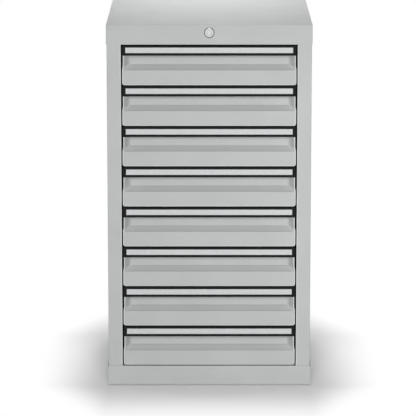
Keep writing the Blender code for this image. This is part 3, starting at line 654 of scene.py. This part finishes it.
def with_hole(points, faces, cell, centre, radius, sides=48):
    """Leaves a round hole in one flat upright face, by four faces round a circle: below, above and beside it."""
    first, second, third, fourth = faces[cell]
    angle = 2 * math.pi * np.arange(sides) / sides
    depth = np.full(sides, points.reshape(-1, 3)[first][1])
    circle = np.stack([centre[0] + radius * np.cos(angle), depth, centre[2] + radius * np.sin(angle)], 1)
    ring = [*range(points.size // 3, points.size // 3 + sides)]
    right, left = ring[0], ring[sides // 2]
    lower = (first, second, right, *ring[: sides // 2 - 1 : -1])
    upper = (third, fourth, *ring[sides // 2 :: -1])
    faces = [*faces[:cell], *faces[cell + 1 :], lower, upper, (fourth, first, left), (second, third, right)]
    return np.concatenate([points.reshape(-1, 3), circle]), faces


def on_housing(name, parts, *nodes, sheet=0):
    """A powder-coated piece of the housing, which stands for the nodes that are named."""
    make_piece(name, parts, grey_coat, "housing", "grey_powder_coat", nodes, sheet)


lid_half = np.array((cover_high.x, (cover_high.y - cover_low.y) / 2))
lid_centre = (0, (cover_high.y + cover_low.y) / 2)
lid_section = fold_section(cover_low.z, cover_high.z, LID_BEND)
lock_low, lock_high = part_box("lock_housing")
lock_centre = ((lock_low.x + lock_high.x) / 2, 0, (lock_low.z + lock_high.z) / 2)
lid_tray = tray(*lid_half, lid_centre, LID_CORNER, lid_section)
on_housing("lid", [with_hole(*lid_tray, FASCIA_CELL, lock_centre, LOCK_HOLE)], "top_cover", sheet=LID_SHEET)
turned_edge = np.array([(cover_low.y + TUCK, cover_low.z + HAIR), (FACE + FASCIA_RETURN, cover_low.z + HAIR)])
on_housing("fascia_return", [bent_sheet(turned_edge, LID_SHEET - 2 * HAIR, "x", -RETURN_HALF, RETURN_HALF)])
print(f"Lid {2000 * lid_half[0]:.0f} mm wide, lock hole at {lock_centre[2] * 1000:.0f} mm")

# %% [markdown]
# ## The base
#
# The base is a tray of two-millimetre sheet that the body stands in, so it is a little wider than the
# body. Its front edge is turned back under the lowest drawer.
# %% Base
BASE_SHEET = 2 * MM
BASE_BEND = 5 * MM
BASE_CORNER = 3 * MM
BASE_RETURN = 20 * MM

base_half = np.array((plinth_high.x, (plinth_high.y - plinth_low.y) / 2))
base_centre = (0, (plinth_high.y + plinth_low.y) / 2)
base_section = fold_section(-plinth_high.z, -plinth_low.z, BASE_BEND)
base_section[:, 1] *= -1
on_housing("base", [tray(*base_half, base_centre, BASE_CORNER, base_section)], "base_plinth", sheet=BASE_SHEET)
turned_level = plinth_high.z - BASE_SHEET
turned_edge = np.array([(FACE - TUCK, turned_level), (FACE + BASE_RETURN, turned_level)])
on_housing("base_return", [bent_sheet(turned_edge, BASE_SHEET - 2 * HAIR, "x", -RETURN_HALF, RETURN_HALF)])
print(f"Base {2 * base_half[0] / MM:.0f} mm wide and {(plinth_high.z - plinth_low.z) / MM:.0f} mm high")

# %% [markdown]
# ## Side panels and back
# Each side is folded round the front corner into a stile and turned back at the opening, and folded
# round the rear corner into a flange that holds the back. Seen from above, the side is one path. Only the
# bend at the opening gets the painted highlight, so the bends within 20 mm of the outer face are left plain.
# The back's two bends get the painted highlight too.
# %% Sides and back
PANEL_SHEET = 1.5 * MM
PANEL_BEND = 2.6 * MM
STILE_BEND = 2.2 * MM
STILE_RETURN = 20 * MM
REAR_FLANGE = 40 * MM
LEFT_PLAIN = 20 * MM
BACK_SHEET = 1 * MM
BACK_BEND = 1.8 * MM

for side, name in ((-1, "left"), (1, "right")):
    low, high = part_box(f"side_panel_{name}")
    outer = max(abs(low.x), abs(high.x))
    path = rounded(
        [
            (OPENING_HALF, FACE + STILE_RETURN),
            (OPENING_HALF, FACE),
            (outer, FACE),
            (outer, high.y),
            (outer - REAR_FLANGE, high.y),
        ],
        (0, STILE_BEND, PANEL_BEND, PANEL_BEND, 0),
    )
    points, faces, bend = bent_sheet(path, PANEL_SHEET, "z", low.z, high.z)
    # Only the bend at the opening keeps its painted highlight.
    at_opening = np.abs(points[..., 0]) < outer - LEFT_PLAIN
    on_housing(f"side_{name}", [(points * (side, 1, 1), faces, bend * at_opening.ravel())], f"side_panel_{name}")

right, left, near, far = back_high.x, back_low.x, back_low.y, back_high.y
back_path = rounded([(right, near), (right, far), (left, far), (left, near)], (0, BACK_BEND, BACK_BEND, 0))
on_housing("back", [bent_sheet(back_path, BACK_SHEET, "z", back_low.z, back_high.z)], "back_panel")
print(f"The opening between the stiles is {2 * OPENING_HALF / MM:.1f} mm wide")

# %% [markdown]
# ## The finger pocket
#
# The front is pressed from one sheet, with a pocket that fingers reach into to pull the drawer. The
# depth behind the face is a function of width and height. Three slanted planes meet in the pocket: the
# back wall, a ledge that falls towards the front, and an end on each side. The depth is the least of the
# three, with the corners eased by a smooth minimum, and nowhere less than nothing. The ends run into the
# back wall in a wide curve, as deep-drawn steel does. Beside the pocket the front is drawn in a little.
# %% Pocket shape
FRONT_BEND = 2.2 * MM
FRONT_HALF = 211.4 * MM
FRONT_LOW = -98 * MM
WAIST = 1.8 * MM
CORNER = 3.5 * MM
POCKET_DEPTH = 22 * MM
LEDGE_FRONT = -61.3 * MM
LEDGE_BACK = -49.4 * MM
MOUTH_HALF = 207.0 * MM
END_SLOPE = 1.85
END_EASE = 9 * MM
LEDGE_EASE = 0.8 * MM
MOUTH_EASE = 0.8 * MM


def smooth_least(a, b, ease):
    """The lesser of two values, less a quarter of (ease - their difference) squared over ease near a tie."""
    near = np.maximum(ease - np.abs(a - b), 0)
    return np.minimum(a, b) - near * near / (4 * ease)


def pocket_depth(x, height):
    """Depth of the front behind its face, as the eased least of the back wall, the ends and the ledge."""
    ends = (MOUTH_HALF - np.abs(x)) * END_SLOPE
    ledge = (height - LEDGE_FRONT) * POCKET_DEPTH / (LEDGE_BACK - LEDGE_FRONT)
    depth = smooth_least(smooth_least(POCKET_DEPTH, ends, END_EASE), ledge, LEDGE_EASE)
    return -smooth_least(-depth, 0 * depth, MOUTH_EASE)


def half_width(height):
    """Half width of the flat face: round at the lower corner, full above it, drawn in beside the pocket."""
    share = np.clip((height - LEDGE_FRONT) / (LEDGE_BACK - LEDGE_FRONT), 0, 1)
    below = np.clip(CORNER - (height - FRONT_LOW - FRONT_BEND), 0, CORNER)
    drawn_in = WAIST * share * share * (3 - 2 * share) + CORNER - np.sqrt(CORNER**2 - below**2)
    return FRONT_HALF - FRONT_BEND - drawn_in


print(f"The pocket is {pocket_depth(0.0, 0.0) / MM:.1f} mm deep in the middle")

# %% [markdown]
# ## The drawer fronts
#
# The face is a grid over width and height whose third value is the pocket's depth. Its rows and columns
# lie close together where the surface curves. The turned edge is a strip that follows the face's sides
# and lower edge round their bend, and the lower corners are round. The bend gets a painted highlight. The
# ledge gets painted light, about a third of the way to the highlight colour, so it is lighter than the
# lamps and its shape leave it. The amount follows the tone in the photograph. That fingers have rubbed it
# is a guess.
# %% Drawer fronts
FRONT_SHEET = 1.5 * MM
FRONT_RETURN = 20 * MM
CAP_LINE = -25.7 * MM
WALL_TOP = -2.3 * MM
CAP_INNER = 203.1 * MM
ROW_LEVELS = np.array((-63.6, -59, -51.6, -47)) * MM
ROW_COUNTS = (6, 12, 8, 10, 6, 4)
CLOSE_COLUMNS = 168 * MM
EDGE_HIGHLIGHT = 1.6
LEDGE_PAINTED_LIGHT = 0.36
LEDGE_LIGHT_RAMP = 3 * MM


def drawer_front():
    """The face as a grid, and the turned edge as a strip that follows the face's sides and lower edge."""
    low = FRONT_LOW + FRONT_BEND
    round_corner = low + CORNER * (1 - np.cos(np.linspace(0, math.pi / 2, 7)))
    levels = (low + CORNER, *ROW_LEVELS, CAP_LINE, WALL_TOP)
    runs = [np.linspace(*ends, count)[:-1] for *ends, count in zip(levels, levels[1:], ROW_COUNTS)]
    heights = np.concatenate([round_corner[:-1], *runs, [WALL_TOP]])
    narrow = half_width(0.0)
    reach = np.concatenate(
        [
            np.linspace(0, CLOSE_COLUMNS, 8)[:-1],
            np.linspace(CLOSE_COLUMNS, CAP_INNER, 28)[:-1],
            np.linspace(CAP_INNER, narrow, 7),
        ]
    )
    share = np.concatenate([-reach[:0:-1], reach]) / narrow
    x = share * half_width(heights)[:, None]
    z = np.broadcast_to(heights[:, None], x.shape)
    face = np.stack([x, pocket_depth(x, z), z], -1)
    rows, columns = face.shape[:2]
    cells = grid_faces(rows, columns)
    centre = face.reshape(-1, 3)[cells].mean(1)
    beside_cap = (centre[:, 2] > CAP_LINE) & (np.abs(centre[:, 0]) > CAP_INNER)
    cells = cells[~beside_cap]

    below_cap = np.flatnonzero(heights <= CAP_LINE + SEAM)
    edge = np.concatenate([face[below_cap[::-1], 0], face[0, 1:-1], face[below_cap, -1]])
    along = np.gradient(edge[:, [0, 2]], axis=0)
    along /= np.linalg.norm(along, axis=1, keepdims=True)
    out = np.stack([along[:, 1], 0 * along[:, 0], -along[:, 0]], 1)
    back = np.array((0.0, 1.0, 0.0))
    turn = np.linspace(0, math.pi / 2, 6)
    bend = [edge + FRONT_BEND * (math.sin(a) * out + (1 - math.cos(a)) * back) for a in turn]
    rim = bend[-1] * (1, 0, 1) + FRONT_RETURN * back
    strip = np.stack([rim, *bend[::-1]])
    # Painted highlight on the turned edge's bend, as shares of the lighter colour.
    painted_highlight = np.clip(np.concatenate([[0], EDGE_HIGHLIGHT * np.sin(2 * turn[::-1])]), 0, 1)
    # Painted light on the pocket's ledge, ramping in from its edges.
    inside = np.minimum.reduce([z - LEDGE_FRONT, LEDGE_BACK - z, MOUTH_HALF - np.abs(x)])
    ledge = LEDGE_PAINTED_LIGHT * np.clip(inside / LEDGE_LIGHT_RAMP, 0, 1)
    return [(face, cells, ledge.ravel()), (strip, grid_faces(*strip.shape[:2]), np.repeat(painted_highlight, len(edge)))]


front_parts = drawer_front()
print("A drawer front has", sum(len(part[1]) for part in front_parts), "faces before its thickness")
in_every_drawer(
    "face", front_parts, grey_coat, "grey_powder_coat", "front", sheet=FRONT_SHEET, turned_out=False, crisp=50
)

# %% [markdown]
# ## Handle strips, end caps and labels
#
# Each handle is a black strip that hooks over the pocket's back wall. Its nose is rounded above and it
# holds a pale label strip in a shallow channel. Two moulded caps close its ends. The outline below lists
# its corners as depth and height in millimetres, and a radius for each.
# %% Handles
HANDLE_HEIGHT = 25.4 * MM
CAP_DEPTH = 20 * MM
CAP_GAP = 0.1 * MM
CAP_EDGE = 1.1 * MM
LABEL_EDGE = 0.3 * MM

hook = [(0, 0), (25.3, 0), (25.3, -7.7), (23.8, -7.7), (23.8, -2), (3.5, -2), (3.5, -18.5), (4.2, -19.5)]
channel = [(4.2, -25.4), (0, -25.4), (0, -19.5), (1.5, -19.5), (1.5, -5.5), (0, -5.5)]
corner_radii = (2.6, 0.8, 0.5, 0.3, 0.6, 0.6, 0.5, 0.5, 1.2, 1.4, 0.4, 0.2, 0.2, 0.4)
handle_outline = rounded(np.array(hook + channel) * MM, np.array(corner_radii) * MM, closed=True, steps=4)
handle_parts = [carried(handle_outline, "x", -CAP_INNER, CAP_INNER)]
for side in (-1, 1):
    near, far = sorted((side * (CAP_INNER + CAP_GAP), side * FRONT_HALF))
    handle_parts.append(rounded_box((near, 0, -HANDLE_HEIGHT), (far, CAP_DEPTH, 0), CAP_EDGE))
label_low, label_high = drawer_box("label")
in_every_drawer("handle_strip", handle_parts, black_abs, "black_plastic", "handle")
in_every_drawer("label_strip", [rounded_box(label_low, label_high, LABEL_EDGE)], label_card, "label_strip", "label")
print(f"Handle strips {2 * CAP_INNER / MM:.1f} mm long, labels {(label_high[0] - label_low[0]) / MM:.1f} mm")

# %% [markdown]
# ## Drawer boxes
#
# Behind each front is an open box of thin sheet. Its rim is folded over for stiffness and safe hands, and
# slots in its sides take dividers. The slots are cells of the grid that are simply left out.
# %% Boxes
BOX_SHEET = 0.9 * MM
BOX_CORNER = 2 * MM
BOX_RIM = 7 * MM
SLOT_PITCH = 16.5 * MM
SLOT_WIDTH = 2.5 * MM
SLOT_TOP, SLOT_FOOT = 14 * MM, 46 * MM
SLOT_ROW = 6
SLOTS_CLEAR = 60 * MM
box_low, box_high = drawer_box("box")
box_half_x = 191 * MM
box_front, box_back = 23.8 * MM, 464 * MM
box_half_y = (box_back - box_front) / 2
box_floor, box_rim = box_low[2], box_high[2]


def slot_cuts(half):
    """Shares of a straight side at which slots of one pitch begin and end, kept clear of both corners."""
    length = 2 * half - 2 * BOX_CORNER
    count = int((length - SLOTS_CLEAR) // SLOT_PITCH)
    start = (length - (count - 1) * SLOT_PITCH - SLOT_WIDTH) / 2
    edges = start + np.arange(count)[:, None] * SLOT_PITCH + np.array((0, SLOT_WIDTH))
    return np.concatenate([[0], edges.ravel() / length, [1]])


box_section = [
    (2.0 * MM, box_rim - BOX_RIM),
    (2.0 * MM, box_rim - 1 * MM),
    (1.7 * MM, box_rim - 0.3 * MM),
    (1.0 * MM, box_rim),
    (0.3 * MM, box_rim - 0.3 * MM),
    (0.0, box_rim - 1 * MM),
    (0.0, box_rim - SLOT_TOP),
    (0.0, box_rim - SLOT_FOOT),
    (0.0, box_floor + 2 * MM),
    (0.6 * MM, box_floor + 0.6 * MM),
    (2.0 * MM, box_floor),
]
slots = slot_cuts(box_half_y)


def box_windows(row, column):
    """Cells of the row between a slot's top and foot that lie in a slot of the left or right side."""
    per_side, per_arc = len(slots), 4
    shift = per_side + per_arc + 2 + per_arc
    on_side = np.minimum(column, np.where(column >= shift, column - shift, column))
    return (row == SLOT_ROW) & (on_side < per_side - 1) & (on_side % 2 == 1)


box_tray = tray(
    box_half_x,
    box_half_y,
    (0, (box_front + box_back) / 2),
    BOX_CORNER,
    box_section,
    windows=box_windows,
    cuts_y=slots,
)
in_every_drawer("tray", [box_tray], grey_coat, "grey_powder_coat", "box", sheet=BOX_SHEET)
print(f"{(len(slots) - 2) // 2} divider slots in each side of a drawer")

# %% [markdown]
# ## Drawer rails and lock catch
#
# A channel of bent sheet runs along each side of a box and opens outwards, and the inner rollers run in
# it. A small block closes each of its ends, so that no roller leaves it. On the right a bent angle is the
# catch that the locking bar stands in front of. Each path is a cross-section: the channel's is carried
# along the box, and the catch's upwards.
# %% Rails
RAIL_WEB, RAIL_EDGE = 191.6 * MM, 199.6 * MM
RAIL_FOOT, RAIL_TOP = -85.5 * MM, -58.5 * MM
RAIL_BEND = 1.8 * MM
RAIL_SHEET = 1.4 * MM
RAIL_FRONT, RAIL_BACK = 36 * MM, 465.6 * MM
STOP_BACK = 463.1 * MM
STOP_LENGTH = 2.4 * MM
STOP_IN = 1 * MM
STOP_LOW, STOP_HIGH = -84.6 * MM, -59.4 * MM
STOP_EDGE = 0.5 * MM
CATCH_SHEET = 2 * MM
CATCH_LOW, CATCH_HIGH = -30 * MM, -24 * MM

rail_parts = []
for side in (-1, 1):
    path = rounded(
        [(RAIL_EDGE, RAIL_FOOT), (RAIL_WEB, RAIL_FOOT), (RAIL_WEB, RAIL_TOP), (RAIL_EDGE, RAIL_TOP)],
        (0, RAIL_BEND, RAIL_BEND, 0),
    ) * (side, 1)
    rail_parts.append(bent_sheet(path, RAIL_SHEET * -side, "y", RAIL_FRONT, RAIL_BACK))
    near, far = sorted((side * RAIL_WEB, side * (RAIL_EDGE - STOP_IN)))
    for stop in (RAIL_FRONT, STOP_BACK):
        rail_parts.append(rounded_box((near, stop, STOP_LOW), (far, stop + STOP_LENGTH, STOP_HIGH), STOP_EDGE))
catch_path = rounded([(191.2, 60), (191.2, 30.6), (208.4, 30.6)], (0, 2.4, 0)) * MM
rail_parts.append(bent_sheet(catch_path, CATCH_SHEET, "z", CATCH_LOW, CATCH_HIGH))
in_every_drawer("rails", [part[:2] for part in rail_parts], zinc_plate, "zinc_plated_steel")
print(f"Drawer rails {(RAIL_BACK - RAIL_FRONT) / MM:.1f} mm long")

# %% [markdown]
# ## Roller carriages
#
# Between the drawer's rail and the cabinet's rail runs a flat bar with hardened rollers, two on each
# side. Each roller is a turned profile with rounded shoulders and a hollow round its axle. The profile
# is listed as shares of the radius and of the width, for one half, and the other half mirrors it.
# %% Carriages
bar_inner, bar_outer = 199.9 * MM, 202.9 * MM
bar_half, bar_edge = 10 * MM, 0.6 * MM
inner_wheels, outer_wheels = (193.2 * MM, 199.7 * MM), (203.1 * MM, 209.6 * MM)
axles = np.array((50.8, 250.8, 450.8)) * MM
runner_height = -72 * MM
roller_radius = 11.7 * MM


def roller(side, inner, outer, axle):
    """A roller between two places across the runner, with its axle's head."""
    width = outer - inner
    near_half = np.array([(0, 0.08), (0.24, 0.08), (0.30, 0.16), (0.62, 0.16), (0.70, 0), (0.94, 0), (1, 0.10)])
    far_half = (0, 1) + near_half[::-1] * (1, -1)
    profile = np.concatenate([near_half, far_half]) * (roller_radius, width) + (0, inner)
    points, faces = turned(profile, "x", (0, axle, runner_height), sides=40)
    return points * (side, 1, 1), faces


for side, name in ((-1, "left"), (1, "right")):
    near, far = sorted((side * bar_inner, side * bar_outer))
    bar_parts = [
        rounded_box(
            (near, axles[0] - roller_radius, runner_height - bar_half),
            (far, axles[2] + roller_radius, runner_height + bar_half),
            bar_edge,
        )
    ]
    wheel_parts = [roller(side, *inner_wheels, axle) for axle in axles[:2]]
    wheel_parts += [roller(side, *outer_wheels, axle) for axle in axles[1:]]
    plated = {"slot": "zinc_plated_steel", "body": "carriage"}
    in_every_drawer(f"carriage_bar_{name}", bar_parts, zinc_plate, stands_for=f"carriage_{name}", **plated)
    in_every_drawer(f"rollers_{name}", wheel_parts, roller_steel, **plated)
print(f"Rollers {2 * roller_radius / MM:.1f} mm across, {(axles[1] - axles[0]) / MM:.0f} mm from one to the next")

# %% [markdown]
# ## The lock's bezel and disc
#
# A cam lock sits in the fascia: a bevelled bezel with a sleeve behind it, and a polished disc inside the
# bezel. Both are profiles of radius and depth, turned a full circle. The disc runs out into a small
# pointer at the top, which shows where the key stands when it comes out.
# %% Bezel and disc
LOCK_SIDES = 72
LID_CLEAR = 0.3 * MM
rim_front = lock_low.y
lid_face = cover_low.y - LID_CLEAR
bezel_profile = np.array(
    [
        (10.3 * MM, rim_front + 0.1 * MM),
        (10.6 * MM, rim_front + 0.2 * MM),
        (12.6 * MM, lid_face - 0.9 * MM),
        (13.0 * MM, lid_face - 0.5 * MM),
        (13.0 * MM, lid_face),
        (9.5 * MM, lid_face),
        (9.5 * MM, lock_high.y),
        (8.5 * MM, lock_high.y),
        (8.5 * MM, rim_front + 0.6 * MM),
        (10.3 * MM, rim_front + 0.6 * MM),
    ]
)
disc_profile = np.array(
    [
        (6.4 * MM, rim_front + 0.6 * MM),
        (6.8 * MM, rim_front + 0.1 * MM),
        (7.2 * MM, rim_front),
        (9.8 * MM, rim_front),
        (10.2 * MM, rim_front + 0.1 * MM),
        (10.2 * MM, rim_front + 0.5 * MM),
        (8.4 * MM, rim_front + 0.5 * MM),
        (8.4 * MM, lock_high.y),
        (6.4 * MM, lock_high.y),
    ]
)
# The bezel's darker colour is a painted reflection of dark surroundings in its bevel.
make_piece(
    "lock_bezel",
    [turned(bezel_profile, "y", lock_centre, LOCK_SIDES, ring=True)],
    dark_reflection_nickel,
    "housing",
    "nickel",
    stands_for=["lock_housing"],
)
pointer_outline = rounded(
    np.array([(-4.6, 8.8), (4.6, 8.8), (0, 13.6)]) * MM, np.array((0.3, 0.3, 0.7)) * MM, closed=True, steps=4
) + np.array((lock_centre[0], lock_centre[2]))
make_piece(
    "lock_disc",
    [
        turned(disc_profile, "y", lock_centre, LOCK_SIDES, ring=True),
        carried(pointer_outline, "y", rim_front + 0.05 * MM, lid_face - 0.2 * MM),
    ],
    bright_nickel,
    "housing",
    "nickel",
    stands_for=["lock_housing"],
)
print(f"Bezel {2 * bezel_profile[:, 0].max() / MM:.0f} mm across")

# %% [markdown]
# ## The lock's barrel
#
# The barrel turns with the key. Its face is flat, with a slim slot that the key goes into. The surface is a
# stack of rows, each with as many points as the next: from the slot's floor up its walls, outwards over
# the face to a small bevel, and back along the round side. A circle clipped to a rectangle is the slot.
# %% Barrel
BARREL = 6.0 * MM
FACE_FLAT, FACE_ROUND = 5.4 * MM, 5.8 * MM
SLOT_HALF = np.array((0.6, 2.6)) * MM
SLOT_DEEP = 6 * MM
CLIPPED = 8 * MM
plug_low, plug_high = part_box("lock_plug")


def key_barrel(sides=64):
    """Rows from the slot's floor up its walls, over the face and down the barrel's side."""
    angle = 2 * math.pi * np.arange(sides) / sides
    circle = np.stack([np.cos(angle), np.sin(angle)], 1)
    slot = np.clip(circle * CLIPPED, -SLOT_HALF, SLOT_HALF)
    front = plug_low.y
    rows = [
        (slot, front + SLOT_DEEP),
        (slot, front),
        ((slot + circle * FACE_FLAT) / 2, front),
        (circle * FACE_FLAT, front),
        (circle * FACE_ROUND, front + 0.12 * MM),
        (circle * BARREL, front + 0.5 * MM),
        (circle * BARREL, plug_high.y),
    ]
    points = np.stack([set_across(flat, "y", level) for flat, level in rows])
    points += np.array((lock_centre[0], 0, lock_centre[2]))
    count = len(rows)
    ends = [tuple(range(sides)), tuple(range(count * sides - 1, (count - 1) * sides - 1, -1))]
    return points, [*grid_faces(count, sides, tube=True), *ends]


make_piece("lock_barrel", [key_barrel()], bright_nickel, "lock_cylinder", "nickel", stands_for=["lock_plug"])
print(f"Barrel {2 * BARREL / MM:.0f} mm across, key slot {2 * SLOT_HALF[1] / MM:.1f} mm high")

# %% [markdown]
# ## Steel inside the cabinet
#
# The uprights, the cam, the link bar and the locking bar keep their own solids, because bent sheet and
# flat steel are just what these are. The gaps beside the fronts are black in the photograph, and the
# uprights and the locking bar stand behind them, so these are painted near-black. That is painted shade
# for the deep gaps, not their real finish, which is not known. The cam and the link bar get plain zinc plate.
# %% Plated steel inside, and near-black painted shade
inside_finishes = {
    "runner_frame_left": gap_shade_black,
    "runner_frame_right": gap_shade_black,
    "locking_bar": gap_shade_black,
    "lock_cam": zinc_plate,
    "lock_link_bar": zinc_plate,
}
for name, finish in inside_finishes.items():
    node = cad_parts[name]
    node.data.materials.clear()
    node.data.materials.append(finish)
print("Plated:", ", ".join(inside_finishes))
